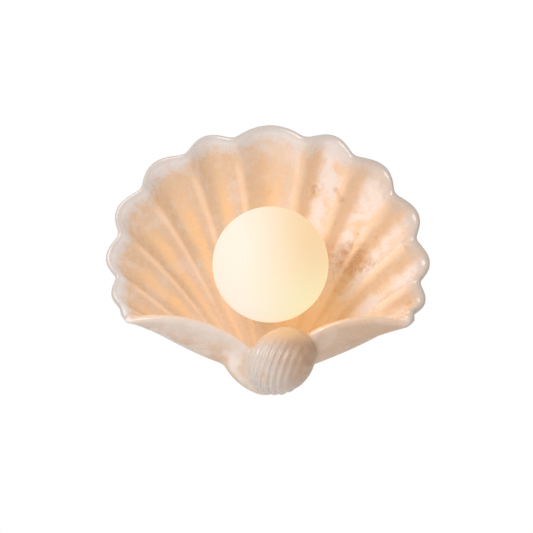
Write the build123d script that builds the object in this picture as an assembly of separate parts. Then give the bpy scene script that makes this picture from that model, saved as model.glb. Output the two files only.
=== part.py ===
from build123d import *
import math
import os

os.makedirs("parts", exist_ok=True)

# Shell wall sconce: a fluted alabaster shell on a round steel pan, with an opal globe in front.
# Millimetres. The wall is the plane y = 0, the lamp stands off it towards -y, z is up.
# The origin is on the wall, on the axis of the globe. Distances "off the wall" are -y.

# --- Stone shell: rim in the front view ---
RIM_HALF_WIDTH = 134.0
RIM_HALF_HEIGHT = 120.5
RIM_SHIFT = -3.0
RIM_LIFT = 0.5
RIM_TOP_REACH = 64.0
RIM_SIDE_REACH = 36.0
# How far the carved rim strays from an ellipse: cosine and sine shares of two, three and four waves.
RIM_WANDER = [(-0.006, 0.004), (-0.007, -0.005), (-0.004, 0.009)]
FAN_SPREAD = 151.6
FAN_CROWDING = 37.2
FAN_LEAN = 0.9
MIDDLE_FLUTE_EXTRA = 4.3
MIDDLE_FLUTE_REACH = 1.4

# --- Stone shell: flutes and wall ---
FLUTES = 13
FLUTE_DEPTH = 9.0
LIP_FLUTE_SHARE = 0.3
RIM_SCALLOP = 0.05
RIDGE_ROUNDING = 0.2
STONE_WALL = 8.0
EDGE_LAND = 65.0
RIM_ROUNDING = 0.03
LIP_ROUNDING = 0.025

# --- Stone shell: control points (x, y, z) of the ribs, from the middle rib out to the right lip ---
# A rib leaves the umbo, runs along the floor, climbs the wall and ends on the rim.
UMBO = [(0, -100, -100), (5, -100, -100), (10, -100, -99), (14, -102, -95), (15, -104, -88), (10, -106, -78)]
FLOOR = [(-4, -30, -95), (12, -34, -92), (28, -46, -82), (42, -64, -80), (48, -88, -88), (47, -116, -52)]
BOWL = [(0, -14, 40), (44, -16, 36), (74, -26, 10), (82, -50, -22), (84, -84, -80), (90, -122, -44)]

# --- Stone scroll in front of the umbo ---
SCROLL_CENTRE = (7, -108, -82)
SCROLL_HALF_WIDTH = 31.0
SCROLL_RADIUS = 29.0
SCROLL_LEAN = 12.0
SCROLL_TURN = -20.0
SCROLL_RIB_PITCH = 5.4
SCROLL_RIB_HEIGHT = 0.9
HEEL_CENTRE = (-18, -94, -89)
HEEL_HALF_LENGTH = 30.0
HEEL_RADIUS = 15.0
HEEL_FALL = 40.0
BALL_END_STEPS = 6
BALL_SEAM = 150.0

# --- Stack along the globe axis, distances off the wall ---
PAN_RIM = 2.0
PAN_FRONT = 24.0
STONE_BACK = 26.0
STONE_SEAT = 36.0
COLLAR_BACK = 37.5
COLLAR_FLOOR = 39.5
GLOBE_BACK = 40.5
HOLDER_BACK = 51.5
HOLDER_FRONT = 67.0
GLOBE_CENTRE = 97.5
STONE_BOSS_RADIUS = 24.0
SEAT_CLEAR_DEPTH = 14.0

# --- Steel pan, strap and their screws ---
PAN_RADIUS = 55.0
PAN_SHEET = 1.5
PAN_INSIDE = PAN_FRONT - PAN_SHEET
PAN_CORNER = 6.0
STRAP_SHEET = 2.0
STRAP_WIDTH = 22.0
STRAP_CLEARANCE = 1.5
STRAP_REACH = PAN_RADIUS - PAN_SHEET - STRAP_CLEARANCE
EAR_WIDTH = 16.0
EAR_LENGTH = 15.0
WALL_SLOT_SPACING = 64.0
WALL_SLOT_LENGTH = 7.0
WALL_SCREW_HOLE = 2.5
CABLE_HOLE = 9.0
SIDE_SCREW_HEIGHT = 9.0
SIDE_SCREW_RADIUS = 1.95
SIDE_SCREW_TIP = STRAP_REACH - 8.0
SIDE_HEAD_RADIUS = 5.0
SIDE_HEAD_LENGTH = 8.0

# --- Threaded tube and nuts ---
TUBE_RADIUS = 5.0
TUBE_BORE = 3.9
TUBE_BACK = 15.0
TUBE_FRONT = 46.0
NUT_ACROSS = 14.0
NUT_HEIGHT = 4.0
LOCKWASHER = 1.0

# --- Globe and its collar ---
GLOBE_RADIUS = 50.0
GLOBE_WALL = 2.0
COLLAR_RADIUS = 17.0
COLLAR_BORE = 14.5
COLLAR_FLANGE = 22.0
NECK_CLEARANCE = 0.08
NECK_WALL = 2.5

# --- Lampholder and lamp ---
HOLDER_FLANGE_RADIUS = 13.5
HOLDER_FLANGE = 3.5
HOLDER_BODY = (13.0, 20.0)
CONTACT_SPACING = 9.0
HOLDER_SCREW_SPACING = 20.0
LAMP_RADIUS = 8.0
LAMP_BASE = 9.0
LAMP_LENGTH = 36.0
PIN_LENGTH = 10.0

# --- Terminal block and wires ---
BLOCK_BACK = 10.5
BLOCK_WIDTH = 28.0
BLOCK_HEIGHT = 16.0
BLOCK_Z = -28.0
POLE_SPACING = 9.0
POLE_DEPTH = 15.0
WIRE_RADIUS = 0.9
EARTH_X = 20.0
EARTH_Z = 34.0


# ---------------------------------------------------------------- helpers

def off_wall(profile, back, front, x=0.0, z=0.0):
    """A flat outline, drawn as seen from the front, made solid between two distances off the wall."""
    return Pos(x, -back, z) * Rot(90, 0, 0) * extrude(profile, front - back)


def disc(radius, back, front, hole=0.0, x=0.0, z=0.0):
    """A round plate or ring square to the wall."""
    outline = Circle(radius)
    if hole:
        outline -= Circle(hole)
    return off_wall(outline, back, front, x, z)


def turned(corners):
    """A piece turned about the globe axis from corners (radius, distance off the wall)."""
    outline = Polyline(*[(radius, -off) for radius, off in corners], close=True)
    return revolve(make_face(outline), Axis.Y)


def hex_nut(back):
    outline = RegularPolygon(NUT_ACROSS / 2, 6, major_radius=False) - Circle(TUBE_RADIUS)
    return off_wall(outline, back, back + NUT_HEIGHT)


def wire(points, name):
    """A round wire: straight runs joined by arcs that are tangent to them."""
    spots = [Vector(*point) for point in points]
    radii = []
    for before, corner, after in zip(spots, spots[1:], spots[2:]):
        run_in = corner - before
        run_out = after - corner
        half_turn = math.radians(run_in.get_angle(run_out)) / 2
        radii.append(0.45 * min(run_in.length, run_out.length) / math.tan(half_turn))
    path = FilletPolyline(*spots, radius=radii)
    section = Plane(origin=path @ 0, z_dir=path % 0) * Circle(WIRE_RADIUS)
    solid = sweep(section, path=path)
    expected = math.pi * WIRE_RADIUS ** 2 * path.length
    print(name, "radii", [round(r, 1) for r in radii], "volume", round(solid.volume / expected, 4))
    return solid


def save(name, shape):
    export_step(shape, f"parts/{name}.step")


# ---------------------------------------------------------------- stone shell

def spline_weights(u):
    """Weights of four neighbouring control points of a smooth cubic curve."""
    return (
        (1 - u) ** 3 / 6,
        (3 * u ** 3 - 6 * u ** 2 + 4) / 6,
        (-3 * u ** 3 + 3 * u ** 2 + 3 * u + 1) / 6,
        u ** 3 / 6,
    )


def control_row(half_row):
    """Mirror the right half of a row about its middle point and add one guide point at each end."""
    middle_x = half_row[0][0]
    left = [Vector(2 * middle_x - x, y, z) for x, y, z in reversed(half_row[1:])]
    row = left + [Vector(*point) for point in half_row]
    return [row[0] * 2 - row[1]] + row + [row[-1] * 2 - row[-2]]


ROWS = [control_row(half_row) for half_row in (UMBO, FLOOR, BOWL)]


def along_row(row, t):
    place = (t + 1) / 2 * (len(row) - 3)
    first = min(int(place), len(row) - 4)
    total = Vector()
    for weight, point in zip(spline_weights(place - first), row[first:first + 4]):
        total += point * weight
    return total


def lobe(t):
    """Positive on the middle line of a flute and negative on the ridge between two."""
    return math.sqrt(math.cos(math.pi * t * FLUTES / 2) ** 2 + RIDGE_ROUNDING ** 2) - 0.6


def rim_point(t, scallop):
    flute = t * FLUTES
    middle_extra = MIDDLE_FLUTE_EXTRA * flute * math.exp(-(flute / MIDDLE_FLUTE_REACH) ** 2)
    angle = math.radians(FAN_SPREAD * t - FAN_CROWDING * t * abs(t) ** 3 + FAN_LEAN + middle_extra)
    size = 1 + scallop * lobe(t) * (1 - t ** 4)
    for waves, (along_cosine, along_sine) in enumerate(RIM_WANDER, 2):
        size += along_cosine * math.cos(waves * angle) + along_sine * math.sin(waves * angle)
    return Vector(
        RIM_SHIFT + size * RIM_HALF_WIDTH * math.sin(angle),
        -RIM_TOP_REACH - RIM_SIDE_REACH * (1 - math.cos(angle)),
        RIM_LIFT + size * RIM_HALF_HEIGHT * math.cos(angle),
    )


def rib_ends(t):
    """Control points of the rib at t: -1 is the left lip, 0 the middle rib, 1 the right lip."""
    return [along_row(row, t) for row in ROWS]


def on_rib(points, s):
    """Place along a rib: s is 0 at the umbo and 1 on the rim."""
    total = Vector()
    for i, point in enumerate(points):
        total += point * (math.comb(3, i) * s ** i * (1 - s) ** (3 - i))
    return total


def eased_steps(count, rounding):
    """Steps from 0 to 1 with the share of the wall left at each: the wall thins as a round towards 1."""
    steps = [((1 - rounding) * i / count, 1.0) for i in range(count)]
    for i in range(4):
        turn = math.radians(EDGE_LAND) * i / 3
        reach = math.sin(turn) / math.sin(math.radians(EDGE_LAND))
        steps.append((1 - rounding + rounding * reach, math.cos(turn)))
    return steps


def stone_faces():
    """The inside and the outside face of the fluted shell."""
    small = 1e-3
    rib_steps = eased_steps(16, RIM_ROUNDING)
    half_fan = eased_steps(6 * FLUTES, LIP_ROUNDING)
    fan_steps = [(-t, share) for t, share in reversed(half_fan[1:])] + half_fan
    inside = []
    outside = []
    for t, lip_share in fan_steps:
        start = max(-1.0, t - small)
        end = min(1.0, t + small)
        rib = rib_ends(t) + [rim_point(t, RIM_SCALLOP)]
        plain = rib_ends(t) + [rim_point(t, 0)]
        depth_share = 1 - (1 - LIP_FLUTE_SHARE) * t ** 4
        one_side = rib_ends(start) + [rim_point(start, 0)]
        other_side = rib_ends(end) + [rim_point(end, 0)]
        inside.append([])
        outside.append([])
        for s, rim_share in rib_steps:
            along = on_rib(plain, min(1.0, s + small)) - on_rib(plain, max(0.0, s - small))
            across = on_rib(other_side, s) - on_rib(one_side, s)
            outward = along.cross(across).normalized()
            centre = on_rib(rib, s) + outward * (FLUTE_DEPTH * s ** 1.1 * depth_share * lobe(t))
            half_wall = outward * (STONE_WALL / 2 * rim_share * lip_share)
            inside[-1].append(centre - half_wall)
            outside[-1].append(centre + half_wall)
    return [
        Face.make_surface_from_array_of_points(grid, tol=0.001, min_deg=3, max_deg=8)
        for grid in (inside, outside)
    ]


def fluted_shell():
    inside, outside = stone_faces()
    faces = [inside, outside]
    for edge in inside.edges():
        partner = min(outside.edges(), key=lambda other: (other @ 0.5 - edge @ 0.5).length)
        faces.append(Face.make_surface_from_curves(edge, partner))
    return Solid(Shell(faces))


def turned_ball(half_width, radius, rib_height):
    """A ball turned about the x axis, with or without ribs round it and with a small flat at each end."""
    points = []
    steps = 120
    for i in range(BALL_END_STEPS, steps - BALL_END_STEPS + 1):
        turn = math.pi * i / steps
        x = -half_width * math.cos(turn)
        ripple = rib_height * math.cos(2 * math.pi * x / SCROLL_RIB_PITCH) * math.sin(turn) ** 2
        points.append((x, (radius + ripple) * math.sin(turn)))
    profile = Spline(*points)
    ends = Polyline(points[-1], (points[-1][0], 0), (points[0][0], 0), points[0])
    return Rot(BALL_SEAM, 0, 0) * revolve(make_face(profile + ends), Axis.X)


def stone():
    """The fluted shell with its scroll, the heel that flows into it on the left, and the seat at the back."""
    scroll = turned_ball(SCROLL_HALF_WIDTH, SCROLL_RADIUS, SCROLL_RIB_HEIGHT)
    heel = turned_ball(HEEL_HALF_LENGTH, HEEL_RADIUS, 0)
    body = fluted_shell() + Pos(*SCROLL_CENTRE) * Rot(0, 0, SCROLL_TURN) * Rot(0, SCROLL_LEAN, 0) * scroll
    body += Pos(*HEEL_CENTRE) * Rot(0, HEEL_FALL, 0) * heel
    body += disc(STONE_BOSS_RADIUS, STONE_BACK, STONE_SEAT + 2)
    body -= disc(STONE_BOSS_RADIUS + 0.5, STONE_SEAT, STONE_SEAT + SEAT_CLEAR_DEPTH)
    return body - disc(TUBE_RADIUS + 0.5, STONE_BACK, STONE_SEAT)


save("alabaster_shell", stone())


# ---------------------------------------------------------------- wall strap, pan and their screws

def wall_strap():
    """Flat steel strap with a cable hole, two wall slots and an ear bent forward at each end."""
    plate = Rectangle(2 * STRAP_REACH, STRAP_WIDTH) - Circle(CABLE_HOLE)
    slot = SlotCenterToCenter(WALL_SLOT_LENGTH, 2 * WALL_SCREW_HOLE)
    for side in (-1, 1):
        plate -= Pos(side * WALL_SLOT_SPACING / 2, 0) * slot
    body = off_wall(plate, 0, STRAP_SHEET)
    for side in (-1, 1):
        ear_x = side * (STRAP_REACH - STRAP_SHEET / 2)
        body += off_wall(Rectangle(STRAP_SHEET, EAR_WIDTH), 0, EAR_LENGTH, ear_x)
    tapping = Cylinder(SIDE_SCREW_RADIUS + 0.05, 4 * STRAP_REACH)
    body -= Pos(0, -SIDE_SCREW_HEIGHT, 0) * Rot(0, 90, 0) * tapping
    return body


def round_pan():
    """Dished steel pan with a rounded front corner; it slips over the strap."""
    wall = Pos(0, -PAN_FRONT, 0) * Rot(-90, 0, 0) * extrude(Circle(PAN_RADIUS), PAN_FRONT - PAN_RIM)
    front_edge = wall.edges().sort_by(Axis.Y)[0]
    wall = fillet(front_edge, PAN_CORNER)
    hollow = disc(PAN_RADIUS - PAN_SHEET, PAN_RIM, PAN_INSIDE)
    hollow = fillet(hollow.edges().sort_by(Axis.Y)[0], PAN_CORNER - PAN_SHEET)
    body = wall - hollow - disc(TUBE_RADIUS + 0.2, PAN_RIM, PAN_FRONT)
    body -= Pos(0, -SIDE_SCREW_HEIGHT, 0) * Rot(0, 90, 0) * Cylinder(SIDE_SCREW_RADIUS + 0.2, 4 * PAN_RADIUS)
    body -= disc(2.0, PAN_RIM, PAN_FRONT, 0, EARTH_X, EARTH_Z)
    for side in (-1, 1):
        body -= disc(1.25, PAN_RIM, PAN_FRONT, 0, side * POLE_SPACING / 2, BLOCK_Z)
    return body


def side_screw(side):
    """Knurled screw through the side of the pan into an ear of the strap."""
    head_start = PAN_RADIUS + 0.3
    knurls = 24
    outline = Circle(SIDE_HEAD_RADIUS)
    for i in range(knurls):
        angle = 2 * math.pi * i / knurls
        outline -= Pos(SIDE_HEAD_RADIUS * math.cos(angle), SIDE_HEAD_RADIUS * math.sin(angle)) * Circle(0.3)
    head = Pos(0, 0, head_start) * extrude(outline, SIDE_HEAD_LENGTH)
    head = chamfer(head.faces().sort_by(Axis.Z)[-1].edges(), 0.25)
    shank = Pos(0, 0, SIDE_SCREW_TIP) * extrude(Circle(SIDE_SCREW_RADIUS), head_start - SIDE_SCREW_TIP)
    return Pos(0, -SIDE_SCREW_HEIGHT, 0) * Rot(0, 90 * side, 0) * (head + shank)


save("wall_strap", wall_strap())
save("round_pan", round_pan())
save("wall_foam", disc(PAN_RADIUS, 0, PAN_RIM, PAN_RADIUS - PAN_SHEET))
save("side_screw_left", side_screw(-1))
save("side_screw_right", side_screw(1))


# ---------------------------------------------------------------- threaded tube, nuts and pads

save("threaded_tube", disc(TUBE_RADIUS, TUBE_BACK, TUBE_FRONT, TUBE_BORE))
save("tube_locknuts", Compound([
    hex_nut(PAN_INSIDE - NUT_HEIGHT),
    hex_nut(COLLAR_FLOOR + LOCKWASHER),
]))
save("tube_lockwasher", disc(8.2, COLLAR_FLOOR, COLLAR_FLOOR + LOCKWASHER, TUBE_RADIUS))
save("back_stone_pad", disc(STONE_BOSS_RADIUS, PAN_FRONT, STONE_BACK, TUBE_RADIUS + 0.3))
save("front_stone_pad", disc(COLLAR_FLANGE, STONE_SEAT, COLLAR_BACK, TUBE_RADIUS + 0.3))


# ---------------------------------------------------------------- globe, collar and seal

def globe_collar():
    body = turned([
        (TUBE_RADIUS, COLLAR_BACK),
        (COLLAR_FLANGE, COLLAR_BACK),
        (COLLAR_FLANGE, COLLAR_FLOOR),
        (COLLAR_RADIUS, COLLAR_FLOOR),
        (COLLAR_RADIUS, HOLDER_BACK - 0.6),
        (COLLAR_RADIUS - 0.6, HOLDER_BACK),
        (COLLAR_BORE, HOLDER_BACK),
        (COLLAR_BORE, COLLAR_FLOOR),
        (TUBE_RADIUS, COLLAR_FLOOR),
    ])
    for side in (-1, 1):
        body -= disc(1.45, COLLAR_BACK, COLLAR_FLOOR, 0, side * HOLDER_SCREW_SPACING / 2)
    return body


def globe():
    """Blown opal globe with a short neck that screws onto the collar."""
    neck_bore = COLLAR_RADIUS + NECK_CLEARANCE
    neck = neck_bore + NECK_WALL
    hollow = GLOBE_RADIUS - GLOBE_WALL
    neck_meets = (neck, -GLOBE_CENTRE + math.sqrt(GLOBE_RADIUS ** 2 - neck ** 2))
    bore_meets = (neck_bore, -GLOBE_CENTRE + math.sqrt(hollow ** 2 - neck_bore ** 2))
    skin = Polyline((neck_bore, -GLOBE_BACK), (neck, -GLOBE_BACK), neck_meets)
    skin += ThreePointArc(neck_meets, (GLOBE_RADIUS, -GLOBE_CENTRE), (0, -GLOBE_CENTRE - GLOBE_RADIUS))
    skin += Line((0, -GLOBE_CENTRE - GLOBE_RADIUS), (0, -GLOBE_CENTRE - hollow))
    skin += ThreePointArc((0, -GLOBE_CENTRE - hollow), (hollow, -GLOBE_CENTRE), bore_meets)
    skin += Line(bore_meets, (neck_bore, -GLOBE_BACK))
    return revolve(make_face(skin), Axis.Y)


save("globe_collar", globe_collar())
save("globe", globe())
save("globe_seal", disc(COLLAR_RADIUS + NECK_WALL + 0.5, COLLAR_FLOOR, GLOBE_BACK, COLLAR_RADIUS + 0.3))


# ---------------------------------------------------------------- lampholder and lamp

def lampholder():
    """Ceramic two-pin holder: a flange for its screws and a body with two contact slots."""
    flange_front = HOLDER_BACK + HOLDER_FLANGE
    body = disc(HOLDER_FLANGE_RADIUS, HOLDER_BACK, flange_front)
    body += off_wall(RectangleRounded(*HOLDER_BODY, 2.5), flange_front, HOLDER_FRONT)
    for side in (-1, 1):
        body -= disc(1.6, HOLDER_BACK, flange_front, 0, side * HOLDER_SCREW_SPACING / 2)
        body -= off_wall(Rectangle(3.4, 1.6), HOLDER_BACK + 2.5, HOLDER_FRONT, 0, side * CONTACT_SPACING / 2)
        body -= disc(1.0, HOLDER_BACK, HOLDER_BACK + 2.5, 0, 0, side * CONTACT_SPACING / 2)
    return body


def holder_screw(side):
    x = side * HOLDER_SCREW_SPACING / 2
    head_back = HOLDER_BACK + HOLDER_FLANGE
    head = disc(2.6, head_back, head_back + 2, 0, x)
    head -= off_wall(Rectangle(6, 0.7), head_back + 1.2, head_back + 2, x)
    return head + disc(1.45, COLLAR_BACK + 0.4, head_back, 0, x)


def contact(side):
    """Brass leaf in a holder slot, on the side of the pin away from the middle."""
    z = side * (CONTACT_SPACING / 2 + 0.6)
    return off_wall(Rectangle(2.6, 0.4), HOLDER_BACK + 2.5, HOLDER_FRONT - 1, 0, z)


def lamp_pin(side):
    pin = SlotOverall(2.4, 0.7)
    return off_wall(pin, HOLDER_FRONT - PIN_LENGTH, HOLDER_FRONT, 0, side * CONTACT_SPACING / 2)


def lamp_cover():
    """Frosted tube with a domed end, open at the base."""
    base = HOLDER_FRONT + LAMP_BASE
    straight_end = base + LAMP_LENGTH - LAMP_RADIUS
    outer = disc(LAMP_RADIUS, base, straight_end) + Pos(0, -straight_end, 0) * Sphere(LAMP_RADIUS)
    inner = disc(LAMP_RADIUS - 1, base, straight_end) + Pos(0, -straight_end, 0) * Sphere(LAMP_RADIUS - 1)
    return outer - inner


save("holder_spacer", disc(HOLDER_FLANGE_RADIUS, COLLAR_FLOOR, HOLDER_BACK, 12.4))
save("lampholder", lampholder())
save("lampholder_screws", Compound([holder_screw(-1), holder_screw(1)]))
save("lamp_contacts", Compound([contact(-1), contact(1)]))
save("lamp_pins", Compound([lamp_pin(-1), lamp_pin(1)]))
save("lamp_base", disc(LAMP_RADIUS, HOLDER_FRONT, HOLDER_FRONT + LAMP_BASE))
save("lamp_cover", lamp_cover())
save("lamp_board", off_wall(Rectangle(8, 1.2), HOLDER_FRONT + LAMP_BASE, HOLDER_FRONT + LAMP_BASE + 28))


# ---------------------------------------------------------------- terminal block, earth and wires

POLES = (-POLE_SPACING, 0.0, POLE_SPACING)
BLOCK_TOP = BLOCK_Z + BLOCK_HEIGHT / 2
SCREW_Z = (BLOCK_Z - 4, BLOCK_Z + 4)


def upright(radius, length, x, z):
    """A round bar along z at the depth of the wire clamps."""
    return Pos(x, -POLE_DEPTH, z) * Cylinder(radius, length)


def terminal_block():
    body = off_wall(RectangleRounded(BLOCK_WIDTH, BLOCK_HEIGHT, 1.5), BLOCK_BACK, PAN_INSIDE, 0, BLOCK_Z)
    for x in POLES:
        body -= upright(2.4, BLOCK_HEIGHT, x, BLOCK_Z)
        for z in SCREW_Z:
            body -= disc(1.6, BLOCK_BACK, POLE_DEPTH, 0, x, z)
    for side in (-1, 1):
        body -= disc(2.3, BLOCK_BACK, BLOCK_BACK + 6, 0, side * POLE_SPACING / 2, BLOCK_Z)
        body -= disc(1.3, BLOCK_BACK, PAN_INSIDE, 0, side * POLE_SPACING / 2, BLOCK_Z)
    return body


def clamp_tube(x):
    body = upright(2.4, BLOCK_HEIGHT - 4, x, BLOCK_Z) - upright(1.5, BLOCK_HEIGHT, x, BLOCK_Z)
    for z in SCREW_Z:
        body -= disc(1.25, BLOCK_BACK, POLE_DEPTH, 0, x, z)
    return body


def clamp_screw(x, z):
    front = POLE_DEPTH - WIRE_RADIUS
    body = disc(1.25, BLOCK_BACK + 0.6, front, 0, x, z)
    return body - off_wall(Rectangle(3, 0.5), BLOCK_BACK + 0.6, BLOCK_BACK + 1.2, x, z)


def block_screw(side):
    x = side * POLE_SPACING / 2
    head = disc(2.0, BLOCK_BACK + 4.2, BLOCK_BACK + 6, 0, x, BLOCK_Z)
    return head + disc(1.25, BLOCK_BACK + 6, PAN_FRONT, 0, x, BLOCK_Z)


def earth_ring():
    """Crimped ring terminal: a flat ring under the earth screw and a barrel for the wire."""
    ring = disc(4.0, PAN_INSIDE - 0.8, PAN_INSIDE, 2.05, EARTH_X, EARTH_Z)
    tongue = off_wall(Rectangle(3, 5), PAN_INSIDE - 0.8, PAN_INSIDE, EARTH_X, EARTH_Z - 6)
    barrel = Pos(EARTH_X, -PAN_INSIDE + 1.6, EARTH_Z - 10) * (Cylinder(1.6, 5) - Cylinder(WIRE_RADIUS, 5))
    return ring + tongue + barrel


def earth_screw():
    back = PAN_INSIDE - 0.8
    head = disc(3.5, back - 2.4, back, 0, EARTH_X, EARTH_Z)
    head -= off_wall(Rectangle(8, 0.8), back - 2.4, back - 1.4, EARTH_X, EARTH_Z)
    return head + disc(2.0, back, PAN_FRONT, 0, EARTH_X, EARTH_Z)


LEAD_Z = 2.0
CONTACT_Z = CONTACT_SPACING / 2
WIRE_FRONT = HOLDER_BACK + 2.5

live_route = [
    (-POLE_SPACING, -POLE_DEPTH, BLOCK_Z),
    (-POLE_SPACING, -POLE_DEPTH, BLOCK_TOP + 2),
    (-POLE_SPACING, -7, BLOCK_TOP + 10),
    (0, -7, LEAD_Z),
    (0, -TUBE_FRONT, LEAD_Z),
    (0, -HOLDER_BACK + 1.5, CONTACT_Z),
    (0, -WIRE_FRONT, CONTACT_Z),
]
neutral_route = [
    (0, -POLE_DEPTH, BLOCK_Z),
    (0, -POLE_DEPTH, BLOCK_TOP + 2),
    (0, -7, BLOCK_TOP + 9),
    (0, -7, -LEAD_Z),
    (0, -TUBE_FRONT, -LEAD_Z),
    (0, -HOLDER_BACK + 1.5, -CONTACT_Z),
    (0, -WIRE_FRONT, -CONTACT_Z),
]
earth_route = [
    (POLE_SPACING, -POLE_DEPTH, BLOCK_Z),
    (POLE_SPACING, -POLE_DEPTH, BLOCK_TOP + 2),
    (POLE_SPACING + 3, -9, BLOCK_TOP + 10),
    (EARTH_X, -9, 6),
    (EARTH_X, -PAN_INSIDE + 1.6, EARTH_Z - 18),
    (EARTH_X, -PAN_INSIDE + 1.6, EARTH_Z - 8),
]

save("terminal_block", terminal_block())
save("clamp_tubes", Compound([clamp_tube(x) for x in POLES]))
save("clamp_screws", Compound([clamp_screw(x, z) for x in POLES for z in SCREW_Z]))
save("block_screws", Compound([block_screw(-1), block_screw(1)]))
save("earth_ring", earth_ring())
save("earth_screw", earth_screw())
save("live_wire", wire(live_route, "live"))
save("neutral_wire", wire(neutral_route, "neutral"))
save("earth_wire", wire(earth_route, "earth"))
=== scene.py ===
import math
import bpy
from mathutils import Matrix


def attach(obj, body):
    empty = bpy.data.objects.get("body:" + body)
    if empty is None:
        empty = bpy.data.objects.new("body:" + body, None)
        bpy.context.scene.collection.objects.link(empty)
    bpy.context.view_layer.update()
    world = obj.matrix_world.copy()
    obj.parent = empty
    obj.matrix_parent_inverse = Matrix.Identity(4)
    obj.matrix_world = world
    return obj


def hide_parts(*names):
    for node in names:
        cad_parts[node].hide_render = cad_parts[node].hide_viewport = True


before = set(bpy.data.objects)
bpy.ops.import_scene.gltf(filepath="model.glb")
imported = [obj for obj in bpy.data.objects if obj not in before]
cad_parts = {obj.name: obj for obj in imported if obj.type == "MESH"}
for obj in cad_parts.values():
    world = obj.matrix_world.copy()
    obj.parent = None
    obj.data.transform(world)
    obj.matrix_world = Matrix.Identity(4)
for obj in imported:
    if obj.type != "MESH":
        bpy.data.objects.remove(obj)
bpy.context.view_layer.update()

from types import SimpleNamespace

import bmesh
import bpy
import numpy as np
from mathutils import Matrix, Vector
from mathutils.bvhtree import BVHTree
from mathutils.interpolate import poly_3d_calc

# Shell wall sconce: looks of the alabaster shell, its opal globe and the fittings behind it.
# The scene is in metres. The sizes below are in millimetres, as in the part, unless they say otherwise.
MM = 0.001

# --- Rim, ribs and flutes of the shell ---
RIM_HALF_WIDTH = 134.0
RIM_HALF_HEIGHT = 120.5
RIM_SHIFT = -3.0
RIM_LIFT = 0.5
RIM_TOP_REACH = 64.0
RIM_SIDE_REACH = 36.0
# How far the carved rim strays from an ellipse: cosine and sine shares for two, three and four waves.
RIM_WANDER = [(-0.006, 0.004), (-0.007, -0.005), (-0.004, 0.009)]
# Where the ribs meet the rim, in degrees from the top: they crowd towards the lips.
FAN_SPREAD = 151.6
FAN_CROWDING = 37.2
FAN_LEAN = 0.9
# The middle flute is wider than the others.
MIDDLE_FLUTE_EXTRA = 4.3
MIDDLE_FLUTE_REACH = 1.4
FLUTES = 13
FLUTE_DEPTH = 9.0
FLUTE_FADE = 2.1
LIP_FLUTE_SHARE = 0.3
# Where the flutes run out before each lip, as shares of the way from the middle rib to the lip.
LEFT_LIP_START = 0.72
LEFT_LIP_WIDTH = 0.2
RIGHT_LIP_START = 0.85
RIGHT_LIP_WIDTH = 0.1
RIM_SCALLOP = 0.05
LOBE_MEAN = 0.6
RIDGE_ROUNDING = 0.3
UMBO_RIDGE_ROUNDING = 1.3
# The lips curl up by this much about a third of the way from the umbo to the rim.
LIP_LIFT = 7.0
LIP_LIFT_START = 0.78
LIP_LIFT_LEAN = 0.65
STONE_WALL = 8.0
# Shares of the shell's length and of its half spread over which the wall's edges are round.
RIM_ROUNDING = 0.03
LIP_ROUNDING = 0.025
COLUMNS_PER_FLUTE = 26
ROWS_TO_RIM = 110
# Guide points of the right half, from the middle rib to the lip: at the umbo, on the floor and up the bowl.
UMBO = [(0, -100, -100), (5, -100, -100), (10, -100, -99), (14, -102, -95), (15, -104, -88), (10, -106, -78)]
FLOOR = [(-4, -30, -95), (12, -34, -92), (28, -46, -82), (42, -64, -80), (48, -88, -88), (47, -116, -52)]
BOWL = [(0, -14, 40), (44, -16, 36), (74, -26, 10), (82, -50, -22), (84, -84, -80), (90, -122, -44)]

# --- Scroll, heel and seat ---
SCROLL_CENTRE = (9.5, -108, -82)
SCROLL_HALF_WIDTH = 28.5
SCROLL_RADIUS = 29.0
SCROLL_LEAN = 12.0
SCROLL_TURN = -20.0
SCROLL_RIB_PITCH = 5.8
SCROLL_RIB_HEIGHT = 1.1
# The ribs end at this height and are whole this much further down, as shares of the radius.
SCROLL_RIB_TOP = 0.75
SCROLL_RIB_FADE = 0.5
SCROLL_SLANT = 0.16
HEEL_CENTRE = (-18, -94, -91)
HEEL_HALF_LENGTH = 30.0
HEEL_RADIUS = 15.0
HEEL_FALL = 40.0
BOSS_RADIUS = 24.0
BOSS_BACK = 26.0
BOSS_SEAT = 36.0
SEAT_CLEARANCE = 0.5
OVERSHOOT = 2.0
SEAT_CUT_DEPTH = 14.0
TUBE_HOLE = 5.5

# --- Joining and smoothing the stone ---
STONE_VOXEL = 1.65
FINE_MARGIN = 5.0
# Points this close to a form are laid back on it, apart from those of a joint.
SNAP_DISTANCE = 0.8
JOINT_WIDTH = 3.5
HEEL_JOINT_WIDTH = 9.0
JOINT_REACH = 1.2
JOINT_PASSES = 36
WALL_PASSES = 2

# A brown vein in the right flutes, in metres as the shader measures.
BROWN_VEIN = (0.076, -0.045, 0.003)

# --- Globe ---
GLOBE_RADIUS = 50.0
GLOBE_WALL = 2.0
GLOBE_CENTRE = 97.5
GLOBE_BACK = 40.5
NECK_RADIUS = 19.58
NECK_BORE = 17.08
NECK_ROUNDING = 0.8
BORE_ROUNDING = 0.6

# --- Studio: camera in millimetres and picture in pixels; floor and lights in metres and watts ---
CAMERA_X = -3.45
CAMERA_Z = -1.7
CAMERA_DISTANCE = 1200.0
SENSOR_WIDTH = 36.0
PICTURE_WIDTH = 533
PICTURE_SCALE = 1.16
FLOOR_RADIUS = 1.5
FLOOR_PLACE = (0, -0.3, -0.62)
LIT_PLACE = (0, -0.07, 0)
SURROUND_LIGHT = 0.52
KEY_PLACE = (-0.9, -1.3, 0.9)
KEY_SIZE = 0.9
KEY_POWER = 17.0
FILL_PLACE = (1.2, -1.4, 0.3)
FILL_SIZE = 1.0
FILL_POWER = 3.0


# ---------------------------------------------------------------- modelling helpers

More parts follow.
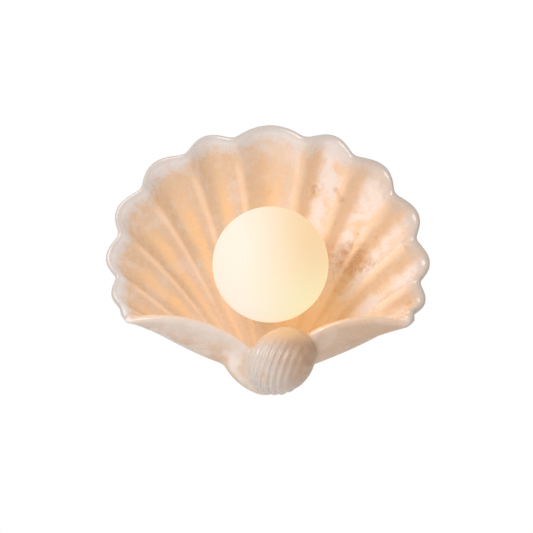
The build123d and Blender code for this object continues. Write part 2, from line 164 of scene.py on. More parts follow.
def clear_selection():
    """Leave edit mode and deselect everything."""
    if bpy.context.object is not None and bpy.context.object.mode != "OBJECT":
        bpy.ops.object.mode_set(mode="OBJECT")
    bpy.ops.object.select_all(action="DESELECT")


def pick(piece):
    """Make piece the only selected object and the active one."""
    clear_selection()
    piece.select_set(True)
    bpy.context.view_layer.objects.active = piece


def named(name):
    """Name the object that an operator has just added."""
    piece = bpy.context.object
    piece.name = name
    piece.data.name = name
    return piece


def modify(piece, kind, **settings):
    """Add a modifier, set it and apply it at once."""
    pick(piece)
    modifier = piece.modifiers.new(kind.lower(), kind)
    for option, value in settings.items():
        setattr(modifier, option, value)
    bpy.ops.object.modifier_apply(modifier=modifier.name)


def set_places(mesh, places):
    """Move all the points of a mesh. places are in millimetres."""
    mesh.vertices.foreach_set("co", (np.asarray(places) * MM).astype(np.float32).ravel())
    mesh.update()


def get_places(mesh):
    """The points of a mesh, in millimetres."""
    places = np.zeros(len(mesh.vertices) * 3, np.float32)
    mesh.vertices.foreach_get("co", places)
    return places.reshape(-1, 3) / MM


def outward(piece):
    """Merge the doubles of a piece and turn its faces outwards."""
    pick(piece)
    bpy.ops.object.mode_set(mode="EDIT")
    bpy.ops.mesh.select_all(action="SELECT")
    bpy.ops.mesh.remove_doubles(threshold=1e-6)
    bpy.ops.mesh.normals_make_consistent(inside=False)
    bpy.ops.object.mode_set(mode="OBJECT")


def smooth_shaded(piece, angle):
    """Shade a piece smooth, apart from edges sharper than angle."""
    pick(piece)
    bpy.ops.object.shade_smooth_by_angle(angle=math.radians(angle))


# ---------------------------------------------------------------- shell form

def spline_weights(u):
    """Shares of four neighbouring guide points of a cubic B-spline, u of the way along."""
    return (
        (1 - u) ** 3 / 6,
        (3 * u ** 3 - 6 * u ** 2 + 4) / 6,
        (-3 * u ** 3 + 3 * u ** 2 + 3 * u + 1) / 6,
        u ** 3 / 6,
    )


def control_row(half_row):
    """Mirror the right half of a row about its middle point and add one guide point at each end."""
    middle_x = half_row[0][0]
    left = [(2 * middle_x - x, y, z) for x, y, z in reversed(half_row[1:])]
    row = np.array(left + half_row, float)
    return np.vstack([2 * row[0] - row[1], row, 2 * row[-1] - row[-2]])


ROWS = [control_row(half_row) for half_row in (UMBO, FLOOR, BOWL)]


def along_row(row, t):
    """Points of a row, for t from -1 at its left end to 1 at its right end."""
    place = (t + 1) / 2 * (len(row) - 3)
    first = np.clip(place.astype(int), 0, len(row) - 4)
    weights = spline_weights(place - first)
    return sum(weight[:, None] * row[first + i] for i, weight in enumerate(weights))


def lobe(t, rounding=RIDGE_ROUNDING):
    """Positive on the middle line of a flute and negative on the ridge between two."""
    return np.sqrt(np.cos(np.pi * t * FLUTES / 2) ** 2 + rounding ** 2) - LOBE_MEAN


def lip_fade(t):
    """1 on the flutes, falling to 0 where they run out smooth into the lips."""
    past_left = np.clip((-t - LEFT_LIP_START) / LEFT_LIP_WIDTH, 0, 1)
    past_right = np.clip((t - RIGHT_LIP_START) / RIGHT_LIP_WIDTH, 0, 1)
    return 1 - past_left - past_right


def rim_point(t, scallop):
    """Points of the rim, for t from the left lip to the right lip. scallop is the depth of its waves."""
    flute = t * FLUTES
    middle_extra = MIDDLE_FLUTE_EXTRA * flute * np.exp(-(flute / MIDDLE_FLUTE_REACH) ** 2)
    angle = np.radians(FAN_SPREAD * t - FAN_CROWDING * t * np.abs(t) ** 3 + FAN_LEAN + middle_extra)
    size = 1 + scallop * lobe(t) * (1 - t ** 4) * lip_fade(t)
    for waves, (along_cosine, along_sine) in enumerate(RIM_WANDER, 2):
        size += along_cosine * np.cos(waves * angle) + along_sine * np.sin(waves * angle)
    return np.stack([
        RIM_SHIFT + size * RIM_HALF_WIDTH * np.sin(angle),
        -RIM_TOP_REACH - RIM_SIDE_REACH * (1 - np.cos(angle)),
        RIM_LIFT + size * RIM_HALF_HEIGHT * np.cos(angle),
    ], axis=1)


def on_rib(t, s, scallop):
    """Points of the shell: t runs from the left lip to the right lip, s from the umbo to the rim."""
    ends = [along_row(row, t) for row in ROWS] + [rim_point(t, scallop)]
    total = np.zeros((len(t), 3))
    for i, end in enumerate(ends):
        total += end * (math.comb(3, i) * s ** i * (1 - s) ** (3 - i))[:, None]
    past_start = np.clip((np.abs(t) - LIP_LIFT_START) / (1 - LIP_LIFT_START), 0, 1)
    total[:, 2] += LIP_LIFT * past_start ** 2 * np.sin(np.pi * s ** LIP_LIFT_LEAN)
    return total


def wall_middle(t, s):
    """The middle of the fluted stone wall, and the direction square to the shell under its flutes."""
    small = 1e-3
    along = on_rib(t, np.minimum(1, s + small), 0) - on_rib(t, np.maximum(0, s - small), 0)
    across = on_rib(np.minimum(1, t + small), s, 0) - on_rib(np.maximum(-1, t - small), s, 0)
    square = np.cross(along, across)
    square /= np.linalg.norm(square, axis=1)[:, None]
    depth = FLUTE_DEPTH * s ** FLUTE_FADE * (1 - (1 - LIP_FLUTE_SHARE) * t ** 4) * lip_fade(t)
    rounding = RIDGE_ROUNDING + UMBO_RIDGE_ROUNDING * (1 - s) ** 2
    middle = on_rib(t, s, RIM_SCALLOP) + square * (depth * lobe(t, rounding))[:, None]
    return middle, square


def round_off(distance, rounding):
    """Share of the wall that is left near an edge, so that the edge is round."""
    return np.sqrt(np.clip(1 - (1 - np.clip(distance / rounding, 0, 1)) ** 2, 0, 1))


def eased(values, rounding):
    """Crowd evenly spread values from 0 to 1 near 1, so that a rounded edge has enough points."""
    straight = 0.9
    body = np.minimum(values / straight, 1) * (1 - rounding)
    turn = np.clip((values - straight) / (1 - straight), 0, 1) * math.pi / 2
    return body + rounding * np.sin(turn)


def store(mesh, name, values):
    """Keep one number for each point of a mesh, for its material to read."""
    if name not in mesh.attributes:
        mesh.attributes.new(name, "FLOAT", "POINT")
    mesh.attributes[name].data.foreach_set("value", np.asarray(values, np.float32))


def stored(mesh, name):
    """The numbers that store has kept."""
    values = np.zeros(len(mesh.vertices), np.float32)
    mesh.attributes[name].data.foreach_get("value", values)
    return values


def fluted_shell():
    """A grid laid over the ribs, then given its stone wall with a round rim and round lips."""
    clear_selection()
    bpy.ops.mesh.primitive_grid_add(
        x_subdivisions=COLUMNS_PER_FLUTE * FLUTES, y_subdivisions=ROWS_TO_RIM, size=2)
    shell = named("fluted_shell")
    flat = get_places(shell.data) * MM
    modify(shell, "SOLIDIFY", thickness=STONE_WALL * MM, offset=0)
    t = np.sign(flat[:, 0]) * eased(np.abs(flat[:, 0]), LIP_ROUNDING)
    s = eased((flat[:, 1] + 1) / 2, RIM_ROUNDING)
    middle, square = wall_middle(t, s)
    share = round_off(1 - s, RIM_ROUNDING) * round_off(1 - np.abs(t), LIP_ROUNDING)
    half_wall = square * (STONE_WALL / 2 * share)[:, None]
    set_places(shell.data, np.vstack([middle + half_wall, middle - half_wall]))
    store(shell.data, "flute", np.tile(t, 2) * FLUTES / 2)
    store(shell.data, "rib", np.tile(s, 2))
    store(shell.data, "bowl_side", np.concatenate([0.5 - share / 2, 0.5 + share / 2]))
    outward(shell)
    return shell


def ball(name, segments, rings):
    """A ball of radius 1 with its poles on the x axis, and its points."""
    clear_selection()
    bpy.ops.mesh.primitive_uv_sphere_add(segments=segments, ring_count=rings, radius=1)
    piece = named(name)
    bpy.ops.transform.rotate(value=math.pi / 2, orient_axis="Y", center_override=(0, 0, 0))
    bpy.ops.object.transform_apply(location=False, rotation=True, scale=False)
    return piece, get_places(piece.data) * MM


def turned_about(places, axis, angle, centre=(0, 0, 0)):
    """Points turned about an axis through the origin, then moved to centre."""
    turn = Matrix.Rotation(math.radians(angle), 3, axis)
    return places @ np.array(turn.transposed()) + np.array(centre)


def ribbed_scroll():
    """The scroll: a slanting ball turned a little towards the room, with ribs below its smooth crown."""
    scroll, unit = ball("scroll", 180, 300)
    x = unit[:, 0] * SCROLL_HALF_WIDTH
    around = np.hypot(unit[:, 1], unit[:, 2])
    below_crown = np.clip((SCROLL_RIB_TOP - unit[:, 2]) / SCROLL_RIB_FADE, 0, 1)
    ripple = SCROLL_RIB_HEIGHT * np.cos(2 * np.pi * x / SCROLL_RIB_PITCH) * around ** 2 * below_crown
    swell = SCROLL_RADIUS + ripple
    places = np.stack([x, unit[:, 1] * swell, unit[:, 2] * swell], axis=1)
    places = turned_about(places, "Y", SCROLL_LEAN)
    places = turned_about(places, "Z", SCROLL_TURN)
    places[:, 0] += SCROLL_SLANT * places[:, 2]
    set_places(scroll.data, places + np.array(SCROLL_CENTRE))
    return scroll


def heel():
    """The rounded heel of the stone, from the left lip down into the scroll."""
    piece, unit = ball("heel", 96, 96)
    places = unit * (HEEL_HALF_LENGTH, HEEL_RADIUS, HEEL_RADIUS)
    set_places(piece.data, turned_about(places, "Y", HEEL_FALL, HEEL_CENTRE))
    return piece


def round_bar(name, radius, back, front):
    """A round bar on the globe axis between two distances off the wall, in millimetres."""
    clear_selection()
    bpy.ops.mesh.primitive_cylinder_add(
        vertices=96, radius=radius * MM, depth=(front - back) * MM,
        location=(0, -(front + back) / 2 * MM, 0), rotation=(math.pi / 2, 0, 0))
    bpy.ops.object.transform_apply(location=True, rotation=True, scale=True)
    return named(name)


def joined(pieces):
    """Join pieces into the first of them."""
    clear_selection()
    for piece in pieces:
        piece.select_set(True)
    bpy.context.view_layer.objects.active = pieces[0]
    bpy.ops.object.join()
    return pieces[0]


def surface_of(piece):
    """The surface of a piece as it is now, to find nearest places on."""
    return BVHTree.FromObject(piece, bpy.context.evaluated_depsgraph_get())


def nearest_on(surface, places):
    """Nearest points of a surface and their distances. All in millimetres."""
    found = [surface.find_nearest(Vector(place) * MM) for place in places]
    points = np.array([spot for spot, _, _, _ in found]) / MM
    distances = np.array([distance for _, _, _, distance in found]) / MM
    return points, distances


def cut_away(piece, tool):
    """Cut a tool's shape out of a piece and remove the tool."""
    modify(piece, "BOOLEAN", operation="DIFFERENCE", object=tool, solver="EXACT")
    bpy.data.objects.remove(tool)


def copy_marks(shell_mesh, mesh, names):
    """Carry the marks of the plain shell over to the carved stone, from the nearest place."""
    copy = bmesh.new()
    copy.from_mesh(shell_mesh)
    copy.faces.ensure_lookup_table()
    marks = np.stack([stored(shell_mesh, name) for name in names], axis=1)
    surface = BVHTree.FromBMesh(copy)
    result = np.zeros((len(mesh.vertices), len(names)))
    for i, vertex in enumerate(mesh.vertices):
        spot, _, face, _ = surface.find_nearest(vertex.co)
        corners = copy.faces[face].verts
        weights = poly_3d_calc([corner.co for corner in corners], spot)
        result[i] = sum(weight * marks[corner.index] for weight, corner in zip(weights, corners))
    copy.free()
    for name, values in zip(names, result.T):
        store(mesh, name, values)


def refine_near(piece, centre, reach):
    """Subdivide the faces of a piece whose points lie within reach of centre."""
    from_centre = np.linalg.norm(get_places(piece.data) - np.array(centre), axis=1)
    pick(piece)
    piece.data.vertices.foreach_set("select", from_centre < reach)
    piece.data.edges.foreach_set("select", [False] * len(piece.data.edges))
    piece.data.polygons.foreach_set("select", [False] * len(piece.data.polygons))
    bpy.context.tool_settings.mesh_select_mode = (True, False, False)
    bpy.ops.object.mode_set(mode="EDIT")
    bpy.ops.mesh.subdivide(number_cuts=1)
    bpy.ops.object.mode_set(mode="OBJECT")


def joint_share(first_gap, second_gap, width):
    """1 where two forms meet, falling to 0 a little more than width away from either."""
    return np.clip(JOINT_REACH - np.maximum(first_gap, second_gap) / width, 0, 1)


def smooth_parts(piece, name, shares, passes):
    """Smooth a piece point by point, each as much as its share says."""
    group = piece.vertex_groups.new(name=name)
    for i in np.nonzero(shares)[0]:
        group.add([int(i)], float(shares[i]), "REPLACE")
    modify(piece, "SMOOTH", vertex_group=name, factor=0.5, iterations=passes)


def carve_stone():
    """Shell, scroll, heel and seat as one carved stone, with the joints between them worked smooth."""
    shell = fluted_shell()
    plain = shell.data.copy()
    scroll = ribbed_scroll()
    knob = heel()
    surfaces = [surface_of(shell), surface_of(scroll), surface_of(knob)]
    seat = round_bar("seat", BOSS_RADIUS, BOSS_BACK, BOSS_SEAT + OVERSHOOT)
    stone = joined([shell, scroll, knob, seat])
    stone.name = "alabaster_stone"
    modify(stone, "REMESH", mode="VOXEL", voxel_size=STONE_VOXEL * MM)
    refine_near(stone, SCROLL_CENTRE, SCROLL_HALF_WIDTH + FINE_MARGIN)

    # The remesh leaves small steps: points go back to the form they came from, and joints are smoothed.
    places = get_places(stone.data)
    found = [nearest_on(surface, places) for surface in surfaces]
    gaps = np.stack([distances for _, distances in found])
    shell_gap, scroll_gap, heel_gap = gaps
    joint = np.maximum(
        joint_share(shell_gap, scroll_gap, JOINT_WIDTH),
        joint_share(heel_gap, np.minimum(shell_gap, scroll_gap), HEEL_JOINT_WIDTH))
    nearest = np.choose(gaps.argmin(axis=0)[:, None], [points for points, _ in found])
    laid_back = (gaps.min(axis=0) < SNAP_DISTANCE) & (joint == 0)
    places[laid_back] = nearest[laid_back]
    set_places(stone.data, places)
    smooth_parts(stone, "joint", joint, JOINT_PASSES)
    smooth_parts(stone, "off_scroll", np.clip(scroll_gap / 2, 0, 1), WALL_PASSES)
    stone.vertex_groups.clear()

    copy_marks(plain, stone.data, ("flute", "rib", "bowl_side"))
    store(stone.data, "scroll", np.clip(1 - (scroll_gap - 0.5) / 3, 0, 1))
    seat_radius = BOSS_RADIUS + SEAT_CLEARANCE
    cut_away(stone, round_bar("seat_cutter", seat_radius, BOSS_SEAT, BOSS_SEAT + SEAT_CUT_DEPTH))
    cut_away(stone, round_bar("tube_cutter", TUBE_HOLE, BOSS_BACK - OVERSHOOT, BOSS_SEAT + OVERSHOOT))
    smooth_shaded(stone, 70)
    return stone


# ---------------------------------------------------------------- globe

def arc(radius, start, end, steps=64):
    """Points of a section along an arc about the globe's middle, from one angle to another."""
    angles = [start + (end - start) * i / steps for i in range(steps + 1)]
    return [(radius * math.sin(angle), GLOBE_CENTRE + radius * math.cos(angle)) for angle in angles]


def blow_globe():
    """The opal globe with its smooth neck, turned from the section of its wall."""
    hollow = GLOBE_RADIUS - GLOBE_WALL
    neck_angle = math.pi - math.asin(NECK_RADIUS / GLOBE_RADIUS)
    bore_angle = math.pi - math.asin(NECK_BORE / hollow)
    section = arc(GLOBE_RADIUS, neck_angle, 0) + arc(hollow, 0, bore_angle)
    section += [
        (NECK_BORE, GLOBE_BACK + BORE_ROUNDING),
        (NECK_BORE + BORE_ROUNDING, GLOBE_BACK),
        (NECK_RADIUS - NECK_ROUNDING, GLOBE_BACK),
        (NECK_RADIUS, GLOBE_BACK + NECK_ROUNDING),
    ]
    return turned("opal_globe", section, 128)


def turned(name, section, steps):
    """A piece turned about the globe axis. section is (radius, distance off the wall), in millimetres."""
    mesh = bpy.data.meshes.new(name)
    points = [(radius * MM, -off * MM, 0) for radius, off in section]
    edges = [(i, (i + 1) % len(points)) for i in range(len(points))]
    mesh.from_pydata(points, edges, [])
    piece = bpy.data.objects.new(name, mesh)
    bpy.context.scene.collection.objects.link(piece)
    pick(piece)
    bpy.ops.object.mode_set(mode="EDIT")
    bpy.ops.mesh.select_all(action="SELECT")
    bpy.ops.mesh.spin(steps=steps, angle=2 * math.pi, center=(0, 0, 0), axis=(0, 1, 0))
    bpy.ops.mesh.select_all(action="SELECT")
    bpy.ops.mesh.remove_doubles(threshold=1e-6)
    bpy.ops.mesh.delete_loose()
    bpy.ops.mesh.select_all(action="SELECT")
    bpy.ops.mesh.normals_make_consistent(inside=False)
    bpy.ops.object.mode_set(mode="OBJECT")
    smooth_shaded(piece, 50)
    return piece


# ---------------------------------------------------------------- material helpers

def srgb(red, green, blue):
    """A picture colour, 0 to 255, as the linear colour that shaders take."""
    parts = [channel / 255 for channel in (red, green, blue)]
    return tuple(p / 12.92 if p <= 0.04045 else ((p + 0.055) / 1.055) ** 2.4 for p in parts) + (1.0,)


def add(tree, kind, inputs=None, **options):
    """Add a node, set its options, then set or link its inputs by name or number."""
    made = tree.nodes.new(kind)
    for option, value in options.items():
        setattr(made, option, value)
    for socket, value in (inputs or {}).items():
        if isinstance(value, bpy.types.NodeSocket):
            tree.links.new(value, made.inputs[socket])
        else:
            made.inputs[socket].default_value = value
    return made


def maths(tree, operation, first, second=0.0, third=0.0):
    """One sum: operation is Blender's name for it."""
    return add(tree, "ShaderNodeMath", {0: first, 1: second, 2: third}, operation=operation).outputs[0]


def times(tree, *factors):
    """The product of several shares."""
    result = factors[0]
    for factor in factors[1:]:
        result = maths(tree, "MULTIPLY", result, factor)
    return result


def blended(tree, share, first, second):
    """A colour between two colours: share 0 gives the first and 1 the second."""
    return add(tree, "ShaderNodeMix", {0: share, 6: first, 7: second}, data_type="RGBA").outputs[2]


def ranged(tree, value, low, high, to_low=0.0, to_high=1.0, kind="LINEAR"):
    """value from low to high, as a share from to_low to to_high."""
    settings = {0: value, 1: low, 2: high, 3: to_low, 4: to_high}
    return add(tree, "ShaderNodeMapRange", settings, interpolation_type=kind).outputs[0]


def soft(tree, value, low, high, to_low=0.0, to_high=1.0):
    """The same, eased at both ends."""
    return ranged(tree, value, low, high, to_low, to_high, "SMOOTHSTEP")


def noise(tree, place, scale, detail=3.0, roughness=0.5, distortion=0.0):
    """Cloudy noise from about 0 to 1. scale is how many clouds fit in a metre."""
    settings = {
        "Vector": place,
        "Scale": scale,
        "Detail": detail,
        "Roughness": roughness,
        "Distortion": distortion,
    }
    return add(tree, "ShaderNodeTexNoise", settings).outputs[0]


def object_place(tree):
    """Where a point lies on its piece, in metres."""
    return add(tree, "ShaderNodeTexCoord").outputs["Object"]


def mark(tree, name):
    """A number that store has kept on the mesh."""
    return add(tree, "ShaderNodeAttribute", attribute_name=name).outputs["Fac"]


def new_material(name, **settings):
    """A material with one Principled shader; settings are its own sockets."""
    material = bpy.data.materials.new(name)
    material.use_nodes = True
    tree = material.node_tree
    tree.nodes.clear()
    sockets = {socket.replace("_", " "): value for socket, value in settings.items()}
    shader = add(tree, "ShaderNodeBsdfPrincipled", sockets)
    add(tree, "ShaderNodeOutputMaterial", {"Surface": shader.outputs[0]})
    return material, tree, shader


def bumped(tree, shader, height, distance, strength):
    """Give a shader fine relief from a height."""
    bump = add(tree, "ShaderNodeBump", {"Height": height, "Distance": distance, "Strength": strength})
    tree.links.new(bump.outputs[0], shader.inputs["Normal"])


# ---------------------------------------------------------------- alabaster

def stone_marks(tree):
    """Where a point lies on the shell, and the clouds and grain that its colours follow."""
    on = SimpleNamespace()
    on.place = object_place(tree)
    parts = add(tree, "ShaderNodeSeparateXYZ", {0: on.place})
    on.x = parts.outputs["X"]
    on.z = parts.outputs["Z"]
    on.rib = mark(tree, "rib")
    on.flute = mark(tree, "flute")
    on.bowl_side = mark(tree, "bowl_side")
    on.scroll = mark(tree, "scroll")
    on.clouds = noise(tree, on.place, 42, 8, 0.64, 0.5)
    on.mottle = noise(tree, on.place, 150, 5, 0.6)
    on.grain = noise(tree, on.place, 1100, 3, 0.6)
    rough_edge = maths(tree, "MULTIPLY", maths(tree, "SUBTRACT", on.mottle, 0.5), 0.12)
    on.ragged_rib = maths(tree, "ADD", on.rib, rough_edge)

    # How far across its flute a point is, from 0 on the left ridge to 1 on the right ridge. The one called
    # wavering is the same with uneven edges.
    across = maths(tree, "FRACT", maths(tree, "ADD", on.flute, 0.5))
    on.from_ridge = maths(tree, "MINIMUM", across, maths(tree, "SUBTRACT", 1.0, across))
    waver = maths(tree, "MULTIPLY_ADD", maths(tree, "SUBTRACT", on.clouds, 0.5), 0.3, 0.5)
    on.wavering = maths(tree, "FRACT", maths(tree, "ADD", on.flute, waver))

    # Shares: of the right flutes, of the low floor round the umbo, of the ridges, of the warm bands of
    # painted lamp light.
    on.right_side = soft(tree, on.flute, -0.5, 0.9)
    on.low = soft(tree, on.rib, 0.34, 0.76, 1, 0)
    below_rim = soft(tree, on.ragged_rib, 0.88, 0.95, 1, 0)
    off_umbo = soft(tree, on.rib, 0.35, 0.62, 0.15, 1)
    # The ridges get a painted highlight, in the colour and in the glow.
    on.ridge = times(tree, soft(tree, on.from_ridge, 0.02, 0.13, 1, 0), below_rim, off_umbo)
    # The warm band along the middle of each flute is painted lamp light.
    from_middle = maths(tree, "ABSOLUTE", maths(tree, "SUBTRACT", on.wavering, 0.55))
    along = soft(tree, on.ragged_rib, 0.74, 0.94, 1, 0)
    on.band = times(tree, soft(tree, from_middle, 0.05, 0.26, 1, 0), along)
    return on


def left_flutes(tree, on):
    """Pinkish grey, with an orange band of painted lamp light along each flute's middle that breaks up
    towards the rim.
    """
    colour = blended(tree, on.mottle, srgb(228, 190, 152), srgb(233, 201, 170))
    colour = blended(tree, soft(tree, on.clouds, 0.5, 0.66, 0, 0.6), colour, srgb(236, 214, 200))
    # Painted lamp light: the orange band in each flute.
    band = times(tree, on.band, ranged(tree, on.clouds, 0.3, 0.6, 1, 0.55))
    return blended(tree, band, colour, srgb(245, 200, 148))


def right_flutes(tree, on):
    """Painted shade in tan on the left slope of each flute, pinkish white clouds kept to the right slope as
    painted light, and brown spots.
    """
    colour = blended(tree, on.mottle, srgb(240, 203, 167), srgb(243, 213, 185))
    # Painted shade: the left slope of each flute, facing away from the key light, is made tan.
    tan = times(tree, soft(tree, on.wavering, 0.06, 0.2), soft(tree, on.wavering, 0.3, 0.58, 1, 0))
    colour = blended(tree, tan, colour, srgb(229, 189, 150))
    speckle = maths(tree, "ADD", on.clouds, maths(tree, "MULTIPLY_ADD", on.grain, 0.22, -0.11))
    # Pinkish white clouds of the stone, shown only on the right slope of each flute as painted light.
    clouds_and_lit_slope = times(
        tree,
        soft(tree, speckle, 0.34, 0.57),
        soft(tree, on.wavering, 0.32, 0.56, 0.1, 1),
        soft(tree, on.rib, 0.3, 0.6, 0.1, 1),
        soft(tree, on.flute, 0.0, 0.9, 0.4, 1))
    colour = blended(tree, clouds_and_lit_slope, colour, srgb(243, 228, 220))
    spots = noise(tree, on.place, 62, 6, 0.62, 0.3)
    spots = times(tree, soft(tree, spots, 0.57, 0.7), ranged(tree, on.rib, 0.35, 0.55, 0.2, 0.5))
    to_vein = add(tree, "ShaderNodeVectorMath", {0: on.place, 1: BROWN_VEIN}, operation="DISTANCE")
    uneven = maths(tree, "MULTIPLY_ADD", on.mottle, 0.03, -0.015)
    near_vein = soft(tree, maths(tree, "ADD", to_vein.outputs["Value"], uneven), 0.006, 0.026, 1, 0)
    near_vein = times(tree, near_vein, ranged(tree, on.grain, 0.35, 0.6, 0.5, 1))
    return blended(tree, maths(tree, "MAXIMUM", spots, near_vein), colour, srgb(190, 132, 76))


def bowl_colour(tree, on):
    """The inside of the bowl: both kinds of flute, the floor round the umbo with painted lamp glow, and the
    ridges with a painted highlight.
    """
    colour = blended(tree, on.right_side, left_flutes(tree, on), right_flutes(tree, on))
    # Painted lamp glow: the floor round the umbo is made orange, most on the right.
    floor = blended(tree, on.right_side, srgb(229, 198, 170), srgb(240, 194, 144))
    colour = blended(tree, maths(tree, "MULTIPLY", on.low, 0.6), colour, floor)
    # Painted highlight: the ridges are made paler.
    return blended(tree, maths(tree, "MULTIPLY", on.ridge, 0.5), colour, srgb(250, 217, 186))


def outside_colour(tree, on, veins):
    """The back of the shell and its lips: veined, tan on the right as painted shade, and paler towards the
    lips as painted light.
    """
    colour = blended(tree, veins, srgb(222, 192, 166), srgb(236, 218, 206))
    colour = blended(tree, soft(tree, on.clouds, 0.45, 0.68, 0, 0.35), colour, srgb(218, 178, 142))
    # Painted shade: the right side, away from the key light, is made tan.
    colour = blended(tree, soft(tree, on.x, 0.01, 0.07, 0, 0.7), colour, srgb(206, 168, 134))
    # Painted light: the lips are made paler, most on the left, where the key light falls.
    lit_lips = soft(tree, maths(tree, "ABSOLUTE", on.flute), 5.7, 6.45, 0, 0.75)
    lit_lips = times(tree, lit_lips, ranged(tree, on.x, -0.02, 0.04, 1, 0.2))
    return blended(tree, lit_lips, colour, srgb(228, 213, 202))


def with_rim(tree, on, colour):
    """A greyish white band along the rim, made warmer on the right and darker at its very edge as painted
    shade.
    """
    # Painted shade: the rim band is warmer and darker on the right, away from the key light.
    band = blended(tree, soft(tree, on.x, 0.02, 0.12), srgb(229, 224, 223), srgb(214, 195, 182))
    colour = blended(tree, soft(tree, on.ragged_rib, 0.92, 0.985, 0, 0.8), colour, band)
    # Painted shade: a darker line at the very edge of the rim.
    return blended(tree, soft(tree, on.rib, 0.975, 1.0, 0, 0.6), colour, srgb(192, 178, 168))


def scroll_colour(tree, on, veins):
    """The scroll: greyish on the left, tan on the right as painted shade, and orange on its crown."""
    across = maths(tree, "ADD", on.x, maths(tree, "MULTIPLY", on.z, 0.35))
    # Painted shade: the right side of the scroll, away from the key light, is made darker tan.
    colour = blended(tree, soft(tree, across, -0.04, 0.004), srgb(218, 204, 194), srgb(188, 148, 116))
    colour = blended(tree, maths(tree, "MULTIPLY", veins, 0.5), colour, srgb(220, 192, 168))
    return blended(tree, soft(tree, on.z, -0.07, -0.056, 0, 0.85), colour, srgb(230, 186, 144))


def lamp_glow(tree, on):
    """Light of the lamp that shows through the stone: in the warm bands, the ridges and the low floor."""
    band = times(tree, on.band, ranged(tree, on.right_side, 0, 1, 0.46, 0.06))
    ridge = times(tree, on.ridge, ranged(tree, on.right_side, 0, 1, 0.46, 0.26))
    low = times(tree, on.low, ranged(tree, on.right_side, 0, 1, 0.05, 1.0))
    glow = maths(tree, "MAXIMUM", maths(tree, "MAXIMUM", band, ridge), low)
    glow = times(tree, glow, on.bowl_side, ranged(tree, on.scroll, 0, 1, 1, 0))
    return blended(tree, glow, (0, 0, 0, 1), (0.15, 0.072, 0.026, 1))


def alabaster():
    """Polished translucent alabaster: warm flutes, pinkish white clouds, grey rim, and light and shade
    painted in.
    """
    material, tree, shader = new_material(
        "alabaster", IOR=1.52, Subsurface_Weight=0.2, Subsurface_Scale=0.006, Emission_Strength=1.0,
        Coat_Weight=0.25, Coat_Roughness=0.12, Subsurface_Radius=(1.0, 0.55, 0.3))
    on = stone_marks(tree)
    veins = soft(tree, noise(tree, on.place, 30, 6, 0.6, 1.2), 0.4, 0.62)
    colour = blended(tree, on.bowl_side, outside_colour(tree, on, veins), bowl_colour(tree, on))
    colour = with_rim(tree, on, colour)
    colour = blended(tree, on.scroll, colour, scroll_colour(tree, on, veins))
    tree.links.new(colour, shader.inputs["Base Color"])
    tree.links.new(lamp_glow(tree, on), shader.inputs["Emission Color"])
    tree.links.new(ranged(tree, on.mottle, 0.3, 0.7, 0.2, 0.36), shader.inputs["Roughness"])
    height = maths(tree, "ADD", noise(tree, on.place, 70, 3, 0.5), maths(tree, "MULTIPLY", on.grain, 0.05))
    bumped(tree, shader, height, 0.0012, 0.4)
    return material


# ---------------------------------------------------------------- globe and fittings

def opal_glass():
    """Opal glass lit from inside: cream on the left, warmer to the upper right, yellow below."""
    material, tree, shader = new_material(
        "opal_glass", Base_Color=srgb(120, 112, 100), Roughness=0.75, Emission_Strength=0.8)
    parts = add(tree, "ShaderNodeSeparateXYZ", {0: object_place(tree)})
    across = soft(tree, parts.outputs["X"], -0.03, 0.035)
    upward = soft(tree, parts.outputs["Z"], -0.04, 0.02)
    warm = blended(tree, upward, srgb(255, 240, 188), srgb(253, 216, 164))
    colour = blended(tree, across, srgb(255, 243, 226), warm)
    tree.links.new(colour, shader.inputs["Emission Color"])
    return material


def new_group(name, inputs, outputs):
    """A node group with named sockets. inputs and outputs are (name, kind, value)."""
    group = bpy.data.node_groups.new(name, "ShaderNodeTree")
    for direction, sockets in (("INPUT", inputs), ("OUTPUT", outputs)):
        for label, kind, value in sockets:
            socket = group.interface.new_socket(label, in_out=direction, socket_type="NodeSocket" + kind)
            if value is not None:
                socket.default_value = value
    given = group.nodes.new("NodeGroupInput").outputs
    result = group.nodes.new("NodeGroupOutput").inputs
    return group, given, result


def worn_finish():
    """Group: a base colour with uneven patches and fine specks, and a roughness that follows them."""
    inputs = [
        ("Colour", "Color", (0.5, 0.5, 0.5, 1)),
        ("Patch Colour", "Color", (0.4, 0.4, 0.4, 1)),
        ("Patch Size", "Float", 20.0),
        ("Speck Size", "Float", 300.0),
        ("Speck Share", "Float", 0.2),
        ("Smoothest", "Float", 0.3),
        ("Roughest", "Float", 0.5),
    ]
    outputs = [("Colour", "Color", None), ("Roughness", "Float", None), ("Height", "Float", None)]
    group, given, result = new_group("worn_finish", inputs, outputs)
    place = object_place(group)
    patches = noise(group, place, given["Patch Size"], 4, 0.6)
    specks = noise(group, place, given["Speck Size"], 3, 0.6)
    patch_share = times(group, soft(group, patches, 0.4, 0.62), 0.6)
    speck_share = times(group, soft(group, specks, 0.5, 0.68), given["Speck Share"])
    share = maths(group, "MAXIMUM", patch_share, speck_share)
    group.links.new(blended(group, share, given["Colour"], given["Patch Colour"]), result["Colour"])
    roughness = ranged(group, patches, 0.3, 0.7, given["Smoothest"], given["Roughest"])
    group.links.new(roughness, result["Roughness"])
    group.links.new(specks, result["Height"])
    return group


def brushed_lines():
    """Group: fine lines across the axis that is stretched, as a height and as a roughness share."""
    group, given, result = new_group(
        "brushed_lines",
        [("Stretch", "Vector", (1, 1, 1)), ("Line Size", "Float", 400.0)],
        [("Height", "Float", None), ("Share", "Float", None)])
    stretch = {0: object_place(group), 1: given["Stretch"]}
    place = add(group, "ShaderNodeVectorMath", stretch, operation="MULTIPLY").outputs[0]
    lines = noise(group, place, given["Line Size"], 2, 0.5)
    group.links.new(lines, result["Height"])
    group.links.new(ranged(group, lines, 0.35, 0.65), result["Share"])
    return group


WORN = worn_finish()
BRUSHED = brushed_lines()


